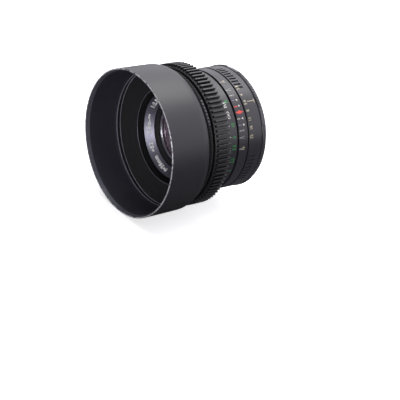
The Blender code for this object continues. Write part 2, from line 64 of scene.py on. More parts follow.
def place(radius, angle, depth):
    """A point on the lens, from a radius, an angle and a depth."""
    turn = radians(angle)
    return Vector((AXIS_X + radius * cos(turn) * MM, FRONT + depth * MM, AXIS_Z + radius * sin(turn) * MM))


def polar_of(point):
    """The radius, angle and depth of a point."""
    x = (point[0] - AXIS_X) / MM
    z = (point[2] - AXIS_Z) / MM
    return hypot(x, z), degrees(atan2(z, x)) % 360.0, (point[1] - FRONT) / MM


def lathe(name, section, flats=192, closed=True):
    """Turns a section: a circle is extruded and resized from point to point of it."""
    bpy.ops.object.select_all(action="DESELECT")
    radius, depth = section[0]
    bpy.ops.mesh.primitive_circle_add(
        vertices=flats, radius=radius * MM, location=(AXIS_X, FRONT + depth * MM, AXIS_Z),
        rotation=(radians(90.0), 0.0, 0.0))
    piece = bpy.context.object
    piece.name = name
    bpy.ops.object.transform_apply(location=True, rotation=True, scale=True)
    bpy.ops.object.mode_set(mode="EDIT")
    bpy.ops.mesh.select_mode(type="EDGE")
    bpy.ops.mesh.select_all(action="SELECT")
    for next_radius, next_depth in section[1:]:
        bpy.ops.mesh.extrude_edges_move(
            TRANSFORM_OT_translate={"value": (0.0, (next_depth - depth) * MM, 0.0)})
        grow = next_radius / radius
        bpy.ops.transform.resize(
            value=(grow, 1.0, grow), center_override=(AXIS_X, FRONT + next_depth * MM, AXIS_Z))
        radius, depth = next_radius, next_depth
    if closed:
        bpy.ops.mesh.select_all(action="DESELECT")
        bpy.ops.mesh.select_non_manifold()
        bpy.ops.mesh.bridge_edge_loops()
    bpy.ops.mesh.select_all(action="SELECT")
    bpy.ops.mesh.normals_make_consistent(inside=False)
    bpy.ops.object.mode_set(mode="OBJECT")
    return piece


def take(piece):
    """Makes a piece the only one that is selected, and the active one."""
    bpy.ops.object.select_all(action="DESELECT")
    bpy.context.view_layer.objects.active = piece
    piece.select_set(True)


SMOOTH_BELOW = 40.0


def soften(piece, width, segments=2, angle=30.0):
    """Breaks the sharp edges, as a chamfering tool or tumbling would, and shades the piece so
    that its flat faces stay flat up to the chamfers."""
    bevel = piece.modifiers.new("Edges", "BEVEL")
    bevel.limit_method = "ANGLE"
    bevel.angle_limit = radians(angle)
    bevel.width = width * MM
    bevel.segments = segments
    take(piece)
    bpy.ops.object.modifier_apply(modifier=bevel.name)
    bpy.ops.object.shade_smooth_by_angle(angle=radians(SMOOTH_BELOW))
    evenly = piece.modifiers.new("Flat faces", "WEIGHTED_NORMAL")
    evenly.keep_sharp = True
    bpy.ops.object.modifier_apply(modifier=evenly.name)


def linear(code):
    """An sRGB hex colour as linear red, green, blue and alpha."""
    channels = [int(code[i:i + 2], 16) / 255.0 for i in (1, 3, 5)]
    return [c / 12.92 if c <= 0.04045 else ((c + 0.055) / 1.055) ** 2.4 for c in channels] + [1.0]


def add_node(tree, kind, inputs=None, **settings):
    """Adds a node with its settings. An input is a value, or another node's output to link."""
    node = tree.nodes.new(kind)
    for setting, value in settings.items():
        setattr(node, setting, value)
    for socket, value in (inputs or {}).items():
        if isinstance(value, bpy.types.NodeSocket):
            tree.links.new(value, node.inputs[socket])
        else:
            node.inputs[socket].default_value = value
    return node


def new_finish(name):
    """An empty material with its Principled shader and a place to read object coordinates."""
    material = bpy.data.materials.new(name)
    material.use_nodes = True
    tree = material.node_tree
    shader = tree.nodes["Principled BSDF"]
    centred = add_node(
        tree, "ShaderNodeMapping", {"Vector": add_node(tree, "ShaderNodeTexCoord").outputs["Object"]})
    centred.inputs["Location"].default_value = (-AXIS_X, 0.0, -AXIS_Z)
    return material, tree, shader, centred.outputs["Vector"]


def black_anodising(name, dark, light, roughness, grain_mm, bump=0.10):
    """Black anodised aluminium, satin from fine blasting: a tight grain, and a soft grey bloom
    where fingers have polished it."""
    material, tree, shader, spot = new_finish(name)
    bloom = add_node(tree, "ShaderNodeTexNoise", {"Vector": spot, "Scale": 90.0, "Detail": 4.0})
    tint = add_node(tree, "ShaderNodeMix", {"Factor": bloom.outputs["Fac"]}, data_type="RGBA")
    tint.inputs["A"].default_value = linear(dark)
    tint.inputs["B"].default_value = linear(light)
    grain = add_node(
        tree, "ShaderNodeTexNoise", {"Vector": spot, "Scale": 1.0 / (grain_mm * MM), "Detail": 2.0})
    gloss = add_node(tree, "ShaderNodeMapRange", {"Value": bloom.outputs["Fac"]})
    gloss.inputs["From Min"].default_value = 0.3
    gloss.inputs["From Max"].default_value = 0.7
    gloss.inputs["To Min"].default_value = roughness - 0.05
    gloss.inputs["To Max"].default_value = roughness + 0.06
    relief = add_node(tree, "ShaderNodeBump", {"Height": grain.outputs["Fac"]})
    relief.inputs["Strength"].default_value = bump
    relief.inputs["Distance"].default_value = 0.02 * MM
    tree.links.new(tint.outputs["Result"], shader.inputs["Base Color"])
    tree.links.new(gloss.outputs["Result"], shader.inputs["Roughness"])
    tree.links.new(relief.outputs["Normal"], shader.inputs["Normal"])
    shader.inputs["IOR"].default_value = 1.55
    return material


barrel_black = black_anodising("black_anodised_barrel", "#1d1c21", "#2b2930", 0.38, 0.18)


def paint_of(name, code):
    """Enamel rubbed into engraving: matt, a little chalky, and thinner where it has worn."""
    material, tree, shader, spot = new_finish(name)
    wear = add_node(tree, "ShaderNodeTexNoise", {"Vector": spot, "Scale": 1400.0, "Detail": 3.0})
    level = add_node(tree, "ShaderNodeMapRange", {"Value": wear.outputs["Fac"]})
    level.inputs["From Min"].default_value = 0.25
    level.inputs["From Max"].default_value = 0.55
    tint = add_node(tree, "ShaderNodeMix", {"Factor": level.outputs["Result"]}, data_type="RGBA")
    colour = linear(code)
    tint.inputs["A"].default_value = [0.55 * c for c in colour[:3]] + [1.0]
    tint.inputs["B"].default_value = colour
    tree.links.new(tint.outputs["Result"], shader.inputs["Base Color"])
    shader.inputs["Roughness"].default_value = 0.55
    return material


white_paint = paint_of("white_engraving_enamel", "#e4e1da")
cream_paint = paint_of("cream_engraving_enamel", "#c4bc9e")
green_paint = paint_of("green_engraving_enamel", "#2fa650")
red_paint = paint_of("red_engraving_enamel", "#e0483c")
violet_paint = paint_of("violet_engraving_enamel", "#a08bb8")
dim_paint = paint_of("worn_white_enamel", "#8f8d8a")
bright_paint = paint_of("bright_white_enamel", "#ffffff")

PAINT_HEIGHT = 0.035


def on_cylinder(radius, depth):
    """Wraps lettering round a cylinder, so that it reads from behind the lens."""
    def wrapped(angle, along, up, rise):
        return place(radius + rise, angle + degrees(along / radius), depth - up)
    return wrapped


def cover(piece, paint):
    """Gives a piece one finish all over."""
    piece.data.materials.clear()
    piece.data.materials.append(paint)


def wrap(piece, wrapped, angle):
    """Bends a flat mesh, drawn in millimetres, on to the lens."""
    for vertex in piece.data.vertices:
        along, up, rise = vertex.co
        vertex.co = wrapped(angle, along, up, rise)
    take(piece)
    bpy.ops.object.mode_set(mode="EDIT")
    bpy.ops.mesh.select_all(action="SELECT")
    bpy.ops.mesh.normals_make_consistent(inside=False)
    bpy.ops.object.mode_set(mode="OBJECT")


def lettering(name, words, size, wrapped, angle, paint, width=1.0, weight=0.0, spacing=1.0):
    """Engraved and filled characters, as a thin skin of paint that follows the ring."""
    bpy.ops.object.select_all(action="DESELECT")
    bpy.ops.object.text_add()
    piece = bpy.context.object
    piece.name = name
    piece.data.body = words
    piece.data.size = size / 0.70
    piece.data.align_x = "CENTER"
    piece.data.align_y = "CENTER"
    piece.data.extrude = PAINT_HEIGHT
    piece.data.resolution_u = 3
    piece.data.offset = weight
    piece.data.space_character = spacing
    bpy.ops.object.convert(target="MESH")
    piece = bpy.context.object
    piece.scale[0] = width
    bpy.ops.object.transform_apply(location=True, rotation=True, scale=True)
    wrap(piece, wrapped, angle)
    cover(piece, paint)
    return piece


def mark(name, length, thickness, wrapped, angle, paint, offset=0.0, corners=4, turn=45.0):
    """A painted line, dot or diamond: a short prism with a fine bevel, bent to the ring."""
    bpy.ops.object.select_all(action="DESELECT")
    bpy.ops.mesh.primitive_cylinder_add(vertices=corners, radius=0.5, depth=2 * PAINT_HEIGHT)
    piece = bpy.context.object
    piece.name = name
    piece.rotation_euler[2] = radians(turn)
    bpy.ops.object.transform_apply(location=True, rotation=True, scale=True)
    side = cos(pi / 4) if corners == 4 and turn == 45.0 else 1.0
    piece.scale = (thickness / side, length / side, 1.0)
    bpy.ops.object.transform_apply(location=True, rotation=True, scale=True)
    piece.location = (0.0, offset, 0.0)
    bpy.ops.object.transform_apply(location=True, rotation=True, scale=True)
    wrap(piece, wrapped, angle)
    cover(piece, paint)
    return piece


def join(name, pieces):
    """Joins pieces of the same kind into one object."""
    bpy.ops.object.select_all(action="DESELECT")
    for piece in pieces:
        piece.select_set(True)
    bpy.context.view_layer.objects.active = pieces[0]
    bpy.ops.object.join()
    joined = bpy.context.object
    joined.name = name
    return joined


index_ring = lathe("engraved_index_ring", [
    (31.2, 46.15), (31.4, 46.3), (31.4, 51.75), (31.2, 51.9), (29.2, 51.9), (29.2, 46.15)])
soften(index_ring, 0.08)
cover(index_ring, barrel_black)
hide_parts("index_ring")
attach(index_ring, "root")

on_index_ring = on_cylinder(31.4, 49.0)
# Each f-number moves its marks this many degrees away from the index.
DEPTH_OF_FIELD_STEP = 2.12
index_marks = []
for side, tag in ((1.0, "left"), (-1.0, "right")):
    for stop in (2.8, 5.6, 8, 11, 16):
        angle = INDEX_ANGLE + side * stop * DEPTH_OF_FIELD_STEP
        name = f"{int(10 * stop)}_{tag}"
        line_paint = violet_paint if stop == 5.6 else white_paint
        if (stop, tag) != (2.8, "left"):
            index_marks.append(mark("line_" + name, 1.8, 0.2, on_index_ring, angle, line_paint, 1.7))
        if stop < 8:
            index_marks.append(
                mark("dot_" + name, 0.9, 0.9, on_index_ring, angle, white_paint, -0.75, 16, 0.0))
        else:
            figure_paint = cream_paint if stop == 16 else dim_paint
            index_marks.append(
                lettering("figure_" + name, str(stop), 1.6, on_index_ring, angle, figure_paint, 0.9, 0.01))
infrared_angle = INDEX_ANGLE + 5.6
index_marks.append(mark("infrared_line", 2.2, 0.45, on_index_ring, infrared_angle, red_paint, 1.5))
index_marks.append(mark("index_diamond", 5.2, 1.9, on_index_ring, INDEX_ANGLE, red_paint, 0.15, 4, 0.0))
index_paint = join("index_ring_marks", index_marks)
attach(index_paint, "root")


# ------------------------------------------------------------------ aperture ring
# The ring that sets the f-number: turned and black anodised aluminium. A cutter has milled
# groups of short grooves for the fingers into it, and its f-numbers are filled in cream.

def in_zone(angle, zones):
    """Whether an angle lies in one of the zones given by their start and length."""
    return any((angle - start) % 360.0 < length for start, length in zones)


def pick_faces(piece, wanted):
    """In edit mode, selects the faces that pass a test on radius, angle and depth."""
    bpy.ops.mesh.select_mode(type="FACE")
    bpy.ops.mesh.select_all(action="DESELECT")
    shape = bmesh.from_edit_mesh(piece.data)
    for face in shape.faces:
        face.select_set(wanted(*polar_of(face.calc_center_median())))
    bmesh.update_edit_mesh(piece.data)


def push_faces(piece, wanted, distance):
    """Extrudes the faces that pass a test along their normals, in millimetres."""
    take(piece)
    bpy.ops.object.mode_set(mode="EDIT")
    pick_faces(piece, wanted)
    bpy.ops.mesh.extrude_region_shrink_fatten(
        TRANSFORM_OT_shrink_fatten={"value": distance * MM, "use_even_offset": True})
    bpy.ops.object.mode_set(mode="OBJECT")


APERTURE_FLATS = 360
GROOVE_ZONES = ((64.0, 34.0), (328.0, 32.0), (152.0, 40.0), (240.0, 40.0))
aperture_ring = lathe("grooved_aperture_ring", [
    (31.3, 52.6), (31.5, 52.8), (31.5, 53.3), (31.5, 57.6), (31.5, 60.8), (31.3, 61.0),
    (29.2, 61.0), (29.2, 52.6)], APERTURE_FLATS)
push_faces(
    aperture_ring,
    lambda radius, angle, depth: radius > 31.4 and 53.3 < depth < 57.6
    and in_zone(angle, GROOVE_ZONES) and int(angle) % 4 < 2,
    -0.7)
soften(aperture_ring, 0.09)
cover(aperture_ring, barrel_black)
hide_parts("aperture_ring")
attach(aperture_ring, "aperture")

APERTURE_STEP = 8.0
on_aperture_ring = on_cylinder(31.5, 54.2)
aperture_marks = []
for number, stop in enumerate(("2.8", "4", "5.6", "8", "11", "16", "22")):
    angle = INDEX_ANGLE + APERTURE_STEP * (3 - number)
    name = "f_" + stop.replace(".", "_")
    aperture_marks.append(lettering(name, stop, 1.7, on_aperture_ring, angle, cream_paint, 0.9, 0.02))
tick_angle = INDEX_ANGLE + 8.5
on_tick = on_cylinder(31.5, 58.2)
aperture_marks.append(mark("long_tick", 4.0, 0.3, on_tick, tick_angle, cream_paint, 0.4))
aperture_marks.append(mark("cross_tick", 0.3, 2.0, on_tick, tick_angle, cream_paint, -1.8))
aperture_paint = join("aperture_ring_figures", aperture_marks)
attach(aperture_paint, "aperture")


# ------------------------------------------------------------------ focus ring
# The ring that carries the distances: turned and black anodised aluminium, engraved with metres
# in white and feet in green. Its sleeve runs forwards under the ribbed grip.

focus_ring = lathe("engraved_focus_ring", [
    (31.05, 28.9), (31.2, 29.05), (31.2, 45.05), (31.0, 45.25), (30.0, 45.25), (30.0, 28.9)])
soften(focus_ring, 0.08)
cover(focus_ring, barrel_black)
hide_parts("focus_ring")
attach(focus_ring, "focus")

FOCAL_LENGTH = 28.0
LEAD_PER_DEGREE = 0.024
FOOT = 304.8


def focus_angle(distance):
    """Where a distance in millimetres stands on the ring: the helicoid's lead gives it."""
    travel = FOCAL_LENGTH ** 2 / (distance - FOCAL_LENGTH)
    return INDEX_ANGLE - travel / LEAD_PER_DEGREE


on_feet_row = on_cylinder(31.2, 43.2)
on_metre_row = on_cylinder(31.2, 40.3)
distance_marks = []
for feet in ("10", "5", "3.5", "2.5", "2", "1.5", "1.2", "1"):
    angle = focus_angle(float(feet) * FOOT)
    tag = feet.replace(".", "_")
    distance_marks.append(lettering("feet_" + tag, feet, 2.0, on_feet_row, angle, green_paint, 0.85))
for metres in ("3", "1.5", "1", "0.8", "0.6", "0.5", "0.4", "0.35", "0.3"):
    angle = focus_angle(float(metres) * 1000.0)
    tag = metres.replace(".", "_")
    distance_marks.append(
        lettering("metres_" + tag, metres.lstrip("0"), 1.4, on_metre_row, angle, white_paint, 0.85))
distance_marks.append(lettering(
    "infinity", "\u221e", 2.9, on_cylinder(31.2, 41.7), INDEX_ANGLE - 1.0, white_paint, 1.15, -0.05))
distance_marks.append(
    lettering("metres_label", "m", 2.6, on_cylinder(31.2, 41.2), INDEX_ANGLE + 9.0, white_paint, 1.1, 0.05))
distance_marks.append(
    lettering("feet_label", "ft", 2.0, on_feet_row, INDEX_ANGLE + 12.2, green_paint, 1.0, 0.02))
distance_paint = join("focus_ring_distances", distance_marks)
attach(distance_paint, "focus")


# ------------------------------------------------------------------ focus grip
# The ribbed collar that the fingers turn: one thick aluminium ring, its ribs milled straight
# through and rounded over at their ends, then blasted and anodised black.

RIBS = 92
FLATS_PER_RIB = 5
focus_grip = lathe("ribbed_focus_grip", [
    (34.0, 28.3), (34.7, 28.6), (34.8, 29.0), (34.8, 37.0), (34.5, 37.7), (33.9, 38.0),
    (31.6, 38.0), (31.6, 28.3)], RIBS * FLATS_PER_RIB)
rib_pitch = 360.0 / RIBS
push_faces(
    focus_grip,
    lambda radius, angle, depth: radius > 34.7 and 29.0 < depth < 37.0
    and angle % rib_pitch < rib_pitch * 0.45,
    1.6)
soften(focus_grip, 0.24, 3, 35.0)
grip_black = black_anodising("black_anodised_ribs", "#0a0a0c", "#111014", 0.40, 0.22, 0.15)
cover(focus_grip, grip_black)
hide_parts("focus_grip")
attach(focus_grip, "focus")


# ------------------------------------------------------------------ filter ring
# The front ring of the lens, with the thread that filters and the hood screw into: turned
# aluminium, anodised black.

thread_crests = []
for turn_number in range(5):
    depth = 30.9 - 0.6 * turn_number
    thread_crests += [(26.35, depth), (26.1, depth - 0.3)]
filter_ring = lathe("threaded_filter_ring", [
    (29.25, 27.9), (29.4, 28.05), (29.4, 32.2), (23.5, 32.2), (23.5, 31.25), (26.1, 31.25)]
    + thread_crests + [(26.2, 27.9)])
soften(filter_ring, 0.06)
cover(filter_ring, barrel_black)
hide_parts("filter_ring")
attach(filter_ring, "optics")


# ------------------------------------------------------------------ name ring
# The sloping ring round the front element: aluminium, turned and anodised a silver that leans to
# lilac, with figures engraved into the slope and filled in white.

def silver_anodising(name):
    """Satin silver anodising: bright, with the fine rings of the lathe tool still in it."""
    material, tree, shader, spot = new_finish(name)
    rings = add_node(
        tree, "ShaderNodeTexWave", {"Vector": spot, "Scale": 900.0, "Distortion": 0.3},
        wave_type="RINGS", rings_direction="Y")
    relief = add_node(tree, "ShaderNodeBump", {"Height": rings.outputs["Fac"]})
    relief.inputs["Strength"].default_value = 0.12
    relief.inputs["Distance"].default_value = 0.01 * MM
    cloud = add_node(tree, "ShaderNodeTexNoise", {"Vector": spot, "Scale": 120.0, "Detail": 3.0})
    tint = add_node(tree, "ShaderNodeMix", {"Factor": cloud.outputs["Fac"]}, data_type="RGBA")
    tint.inputs["A"].default_value = linear("#7e7d8a")
    tint.inputs["B"].default_value = linear("#8e8d9b")
    tree.links.new(tint.outputs["Result"], shader.inputs["Base Color"])
    tree.links.new(relief.outputs["Normal"], shader.inputs["Normal"])
    shader.inputs["Metallic"].default_value = 1.0
    shader.inputs["Roughness"].default_value = 0.46
    return material


name_ring = lathe("silver_name_ring", [
    (22.35, 26.8), (22.8, 26.95), (22.8, 31.4), (18.3, 31.4), (18.3, 30.3), (18.45, 30.15)])
soften(name_ring, 0.07)
cover(name_ring, silver_anodising("silver_anodised_ring"))
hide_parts("name_ring")
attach(name_ring, "optics")

SLOPE_TOP = (22.35, 26.8)
SLOPE_FOOT = (18.45, 30.15)
slope_length = hypot(SLOPE_TOP[0] - SLOPE_FOOT[0], SLOPE_FOOT[1] - SLOPE_TOP[1])
slope_radial = (SLOPE_TOP[0] - SLOPE_FOOT[0]) / slope_length
slope_axial = (SLOPE_TOP[1] - SLOPE_FOOT[1]) / slope_length


def on_slope(angle, along, up, rise):
    """Wraps lettering round the sloping face, tops outwards, so that it reads from the front."""
    radius = (SLOPE_TOP[0] + SLOPE_FOOT[0]) / 2 + up * slope_radial + rise * slope_axial
    depth = (SLOPE_TOP[1] + SLOPE_FOOT[1]) / 2 + up * slope_axial - rise * slope_radial
    return place(radius, angle - degrees(along / 20.4), depth)


ring_marks = []
for name, words, angle in (
        ("focal_length", "f=28mm", 253.0), ("thread", "ø52", 223.0), ("range", "0.3m-∞", 188.0),
        ("speed", "1:2.8", 152.0), ("angle_of_view", "75°", 120.0), ("stops", "f/2.8-22", 70.0),
        ("focal_length_again", "28mm", 5.0), ("coating", "coated", 310.0)):
    ring_marks.append(lettering("ring_" + name, words, 2.0, on_slope, angle, bright_paint, 1.0, 0.16, 1.2))
name_paint = join("name_ring_figures", ring_marks)
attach(name_paint, "optics")


# ------------------------------------------------------------------ cone ring, retaining ring
# Inside the name ring come a matt black cone that hides the edge of the glass, and the bright
# threaded ring that holds the front element in its cell.

def matt_black(name):
    """Optical matt black lacquer: dead flat, so that it sends no stray light to the film."""
    material, tree, shader, spot = new_finish(name)
    mottle = add_node(tree, "ShaderNodeTexNoise", {"Vector": spot, "Scale": 400.0, "Detail": 3.0})
    tint = add_node(tree, "ShaderNodeMix", {"Factor": mottle.outputs["Fac"]}, data_type="RGBA")
    tint.inputs["A"].default_value = linear("#101013")
    tint.inputs["B"].default_value = linear("#18181c")
    relief = add_node(tree, "ShaderNodeBump", {"Height": mottle.outputs["Fac"]})
    relief.inputs["Strength"].default_value = 0.15
    relief.inputs["Distance"].default_value = 0.02 * MM
    tree.links.new(tint.outputs["Result"], shader.inputs["Base Color"])
    tree.links.new(relief.outputs["Normal"], shader.inputs["Normal"])
    shader.inputs["Roughness"].default_value = 0.78
    return material


def turned_metal(name, dark, light, roughness, ring_mm):
    """Bare metal straight from the lathe: fine rings round the axis over a clean colour."""
    material, tree, shader, spot = new_finish(name)
    rings = add_node(
        tree, "ShaderNodeTexWave", {"Vector": spot, "Scale": 1.0 / (ring_mm * MM), "Distortion": 0.4},
        wave_type="RINGS", rings_direction="Y")
    cloud = add_node(tree, "ShaderNodeTexNoise", {"Vector": spot, "Scale": 150.0, "Detail": 3.0})
    tint = add_node(tree, "ShaderNodeMix", {"Factor": cloud.outputs["Fac"]}, data_type="RGBA")
    tint.inputs["A"].default_value = linear(dark)
    tint.inputs["B"].default_value = linear(light)
    relief = add_node(tree, "ShaderNodeBump", {"Height": rings.outputs["Fac"]})
    relief.inputs["Strength"].default_value = 0.12
    relief.inputs["Distance"].default_value = 0.008 * MM
    tree.links.new(tint.outputs["Result"], shader.inputs["Base Color"])
    tree.links.new(relief.outputs["Normal"], shader.inputs["Normal"])
    shader.inputs["Metallic"].default_value = 1.0
    shader.inputs["Roughness"].default_value = roughness
    return material


lacquer = matt_black("matt_black_lacquer")
bright_aluminium = turned_metal("turned_aluminium", "#a9a5ae", "#bdbac2", 0.28, 1.2)

cone_ring = lathe("black_cone_ring", [
    (17.9, 30.6), (18.0, 30.7), (18.0, 32.5), (16.4, 32.5), (16.4, 32.05), (16.5, 31.9)])
soften(cone_ring, 0.05)
cover(cone_ring, lacquer)
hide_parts("front_cone_ring")
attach(cone_ring, "optics")

retaining_ring = lathe("bright_retaining_ring", [
    (15.9, 32.1), (16.0, 32.25), (16.0, 33.0), (14.8, 33.0), (14.8, 32.7), (15.0, 32.5), (15.2, 32.5),
    (15.3, 32.2)])
soften(retaining_ring, 0.05)
cover(retaining_ring, bright_aluminium)
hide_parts("front_retaining_ring")
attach(retaining_ring, "optics")


# ------------------------------------------------------------------ front and rear cells
# The two black tubes that the elements are stacked in: turned aluminium, with fine steps cut
# inside them, matt black lacquer over the front one and black anodising over the rear one.

front_cell = lathe("stepped_front_cell", [
    (22.8, 31.7), (22.8, 32.3), (19.5, 32.3), (19.5, 36.5), (15.4, 40.5), (15.4, 46.0), (10.3, 46.0),
    (10.3, 42.6), (9.2, 42.6), (9.2, 41.9), (12.9, 41.9), (12.9, 38.4), (16.3, 38.4), (16.3, 32.8),
    (18.3, 32.8), (18.3, 31.7)], 128)
soften(front_cell, 0.06)
cover(front_cell, lacquer)
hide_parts("front_cell")
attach(front_cell, "optics")

rear_cell = lathe("stepped_rear_cell", [
    (16.0, 52.5), (16.0, 53.3), (12.2, 53.3), (12.2, 65.6), (12.0, 65.8), (10.7, 65.8), (10.5, 65.6),
    (10.5, 63.4), (9.5, 63.4), (9.5, 59.7), (8.5, 59.7), (8.5, 53.3), (7.6, 53.3), (7.6, 52.5)], 128)
soften(rear_cell, 0.06)
cover(rear_cell, barrel_black)
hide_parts("rear_cell")
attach(rear_cell, "optics")

rear_ring = lathe("slotted_rear_retaining_ring", [
    (10.2, 65.0), (10.2, 65.7), (10.1, 65.8), (9.2, 65.8), (9.0, 65.3), (9.0, 65.0)], 128)
push_faces(
    rear_ring,
    lambda radius, angle, depth: depth > 65.75 and (angle + 4.0) % 180.0 < 8.0,
    -0.3)
soften(rear_ring, 0.04)
cover(rear_ring, barrel_black)
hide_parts("rear_retaining_ring")
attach(rear_ring, "optics")


# ------------------------------------------------------------------ glass elements
# Seven ground and polished elements. A thin coating turns what they reflect violet at the front
# and amber at the rear.

def coated_glass(name, reflection, cast, veil=0.0):
    """Polished optical glass: clear and very smooth, with the coloured shine of its coating and
    a thin pale diffuse veil, patchy with noise, over part of its surface."""
    material, tree, shader, spot = new_finish(name)
    veil_patches = add_node(tree, "ShaderNodeTexNoise", {"Vector": spot, "Scale": 260.0, "Detail": 5.0})
    level = add_node(tree, "ShaderNodeMapRange", {"Value": veil_patches.outputs["Fac"]})
    level.inputs["To Min"].default_value = 1.0 - veil
    level.inputs["To Max"].default_value = 1.0 - 0.4 * veil
    tree.links.new(level.outputs["Result"], shader.inputs["Transmission Weight"])
    shader.inputs["Base Color"].default_value = linear(cast)
    shader.inputs["Roughness"].default_value = 0.02
    shader.inputs["IOR"].default_value = 1.62
    shader.inputs["Coat Weight"].default_value = 0.8
    shader.inputs["Coat Roughness"].default_value = 0.02
    shader.inputs["Coat Tint"].default_value = linear(reflection)
    return material


front_glass = coated_glass("pink_coated_front_glass", "#e3cbdc", "#e2dde6", 0.42)
violet_glass = coated_glass("violet_coated_glass", "#c79adf", "#efe6f4", 0.04)
amber_glass = coated_glass("amber_coated_glass", "#f3dfc6", "#f8f4ea")


def fall(curvature, at):
    """How far a ground face has fallen away from its pole at a distance from the axis."""
    return curvature - sqrt(curvature * curvature - at * at)


def element(name, node, edge, front, rear, glass, body="optics"):
    """A lens element. Each face is (pole depth, radius of curvature, clear radius)."""
    steps = 14
    pole = 0.02
    faces = []
    for depth, curvature, clear in (front, rear):
        side = 1.0 if curvature > 0 else -1.0
        face = []
        for i in range(steps + 1):
            at = pole + (clear - pole) * i / steps
            face.append((at, depth + side * fall(abs(curvature), at)))
        if clear < edge:
            face.append((edge, face[-1][1]))
        faces.append(face)
    piece = lathe(name, faces[0] + faces[1][::-1], 96, closed=False)
    bpy.ops.object.mode_set(mode="EDIT")
    for depth in (front[0], rear[0]):
        bpy.ops.mesh.select_all(action="DESELECT")
        shape = bmesh.from_edit_mesh(piece.data)
        for vertex in shape.verts:
            radius, angle, at = polar_of(vertex.co)
            vertex.select_set(radius < 2 * pole and abs(at - depth) < 0.1)
        bmesh.update_edit_mesh(piece.data)
        bpy.ops.mesh.merge(type="CENTER")
    bpy.ops.mesh.select_all(action="SELECT")
    bpy.ops.mesh.normals_make_consistent(inside=False)
    bpy.ops.object.mode_set(mode="OBJECT")
    soften(piece, 0.05, 1, 30.0)
    cover(piece, glass)
    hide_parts(node)
    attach(piece, body)


element("front_element", "lens_1", 15.9, (31.0, 45.0, 15.9), (32.96, 19.0, 13.0), front_glass)
element("second_element", "lens_2", 12.6, (36.6, 32.0, 12.6), (41.3, -70.0, 12.6), violet_glass)
element("third_element", "lens_3", 10.0, (43.3, -120.0, 10.0), (44.26, 22.0, 7.0), violet_glass)
element("fourth_element", "lens_4", 8.2, (54.5, -38.0, 8.2), (55.4, 18.0, 8.2), amber_glass)
element("fifth_element", "lens_5", 8.2, (55.7, 18.0, 8.2), (60.0, -22.0, 8.2), amber_glass)
element("sixth_element", "lens_6", 9.2, (60.7, -60.0, 9.2), (62.9, -24.0, 9.2), amber_glass)
element("rear_element", "lens_7", 10.2, (63.5, 200.0, 10.2), (65.8, -36.0, 10.2), amber_glass)


# ------------------------------------------------------------------ diaphragm
# Six blades of blackened spring steel between a lacquered housing and the steel ring that swings
# them. They show as a dark six-sided opening behind the front elements.

def black_steel(name):
    """Chemically blackened spring steel: nearly black, with a faint brown sheen in streaks."""
    material, tree, shader, spot = new_finish(name)
    streak = add_node(tree, "ShaderNodeTexNoise", {"Vector": spot, "Scale": 500.0, "Detail": 4.0})
    tint = add_node(tree, "ShaderNodeMix", {"Factor": streak.outputs["Fac"]}, data_type="RGBA")
    tint.inputs["A"].default_value = linear("#1a1919")
    tint.inputs["B"].default_value = linear("#2b2826")
    tree.links.new(tint.outputs["Result"], shader.inputs["Base Color"])
    shader.inputs["Metallic"].default_value = 0.8
    shader.inputs["Roughness"].default_value = 0.42
    return material


def give(paint, *names):
    """Gives carried-over pieces of the frame a finish, in their own material slots."""
    for name in names:
        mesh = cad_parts[name].data
        if not mesh.materials:
            mesh.materials.append(paint)
        for i in range(len(mesh.materials)):
            mesh.materials[i] = paint


ground_steel = turned_metal("ground_steel", "#9a9a9c", "#b0b0b2", 0.30, 0.8)
blade_steel = black_steel("blackened_blade_steel")
give(blade_steel, *[f"iris_blade_{i}" for i in range(1, 7)])
give(ground_steel, "iris_drive_ring")
give(lacquer, "iris_housing", "iris_cover", "lens_spacer", "lens_3_retaining_ring", "rear_spacer")


# ------------------------------------------------------------------ barrel and helicoids
# The hidden metal that carries it all: an aluminium barrel, brass and aluminium helicoids, brass
# guide keys, and small steel screws, pins and the click ball with its spring.

brass = turned_metal("turned_brass", "#a8843f", "#c9a45a", 0.30, 0.9)
# The helicoid shows in the gap between the rings, so its brass is blackened.
blackened_brass = turned_metal("blackened_brass", "#1b1916", "#292520", 0.42, 0.9)
give(barrel_black, "main_barrel")
give(bright_aluminium, "inner_helicoid")
give(blackened_brass, "outer_helicoid")
give(brass, "guide_key_1", "guide_key_2")
give(ground_steel, "focus_screw_1", "focus_screw_2", "focus_screw_3", "click_ball", "click_spring",
     "aperture_fork")
give(blade_steel, "focus_stop_pin")


# ------------------------------------------------------------------ lock ring
# The knurled ring at the back that clamps the lens to a camera: turned aluminium, anodised
# black in a lighter grey than the barrel, a painted sheen, with three lugs inside it and fine straight
# knurling.

LOCK_FLATS = 360
LUG_ZONES = ((30.0, 60.0), (150.0, 60.0), (270.0, 60.0))
KNURL_ZONES = [(60.0 * number - 18.0, 45.0) for number in range(6)]
lock_ring = lathe("knurled_lock_ring", [
    (31.2, 61.7), (31.45, 61.9), (31.45, 62.2), (31.45, 63.4), (31.45, 63.7), (31.2, 63.9), (29.9, 63.9),
    (29.9, 65.1), (29.7, 65.3), (29.0, 65.3), (29.0, 64.5), (29.0, 61.7)], LOCK_FLATS)
push_faces(
    lock_ring,
    lambda radius, angle, depth: radius > 31.4 and 62.2 < depth < 63.4
    and in_zone(angle, KNURL_ZONES) and int(angle) % 3 < 2,
    0.4)
push_faces(
    lock_ring,
    lambda radius, angle, depth: radius < 29.1 and 64.5 < depth < 65.3 and in_zone(angle, LUG_ZONES),
    1.75)
soften(lock_ring, 0.08)
# A lighter grey than the barrel's black anodising: painted sheen on the knurled ring.
lock_sheen_black = black_anodising("sheen_painted_black_anodised_knurl", "#313135", "#4b4a50", 0.32, 0.2)
cover(lock_ring, lock_sheen_black)
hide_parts("lock_ring")
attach(lock_ring, "lock")


# ------------------------------------------------------------------ mount plate, screws and pin
# The seat that meets the camera: brass, turned flat and hard chromed, held by four slotted
# screws that sit in counterbores, with one steel pin that finds the camera's hole.

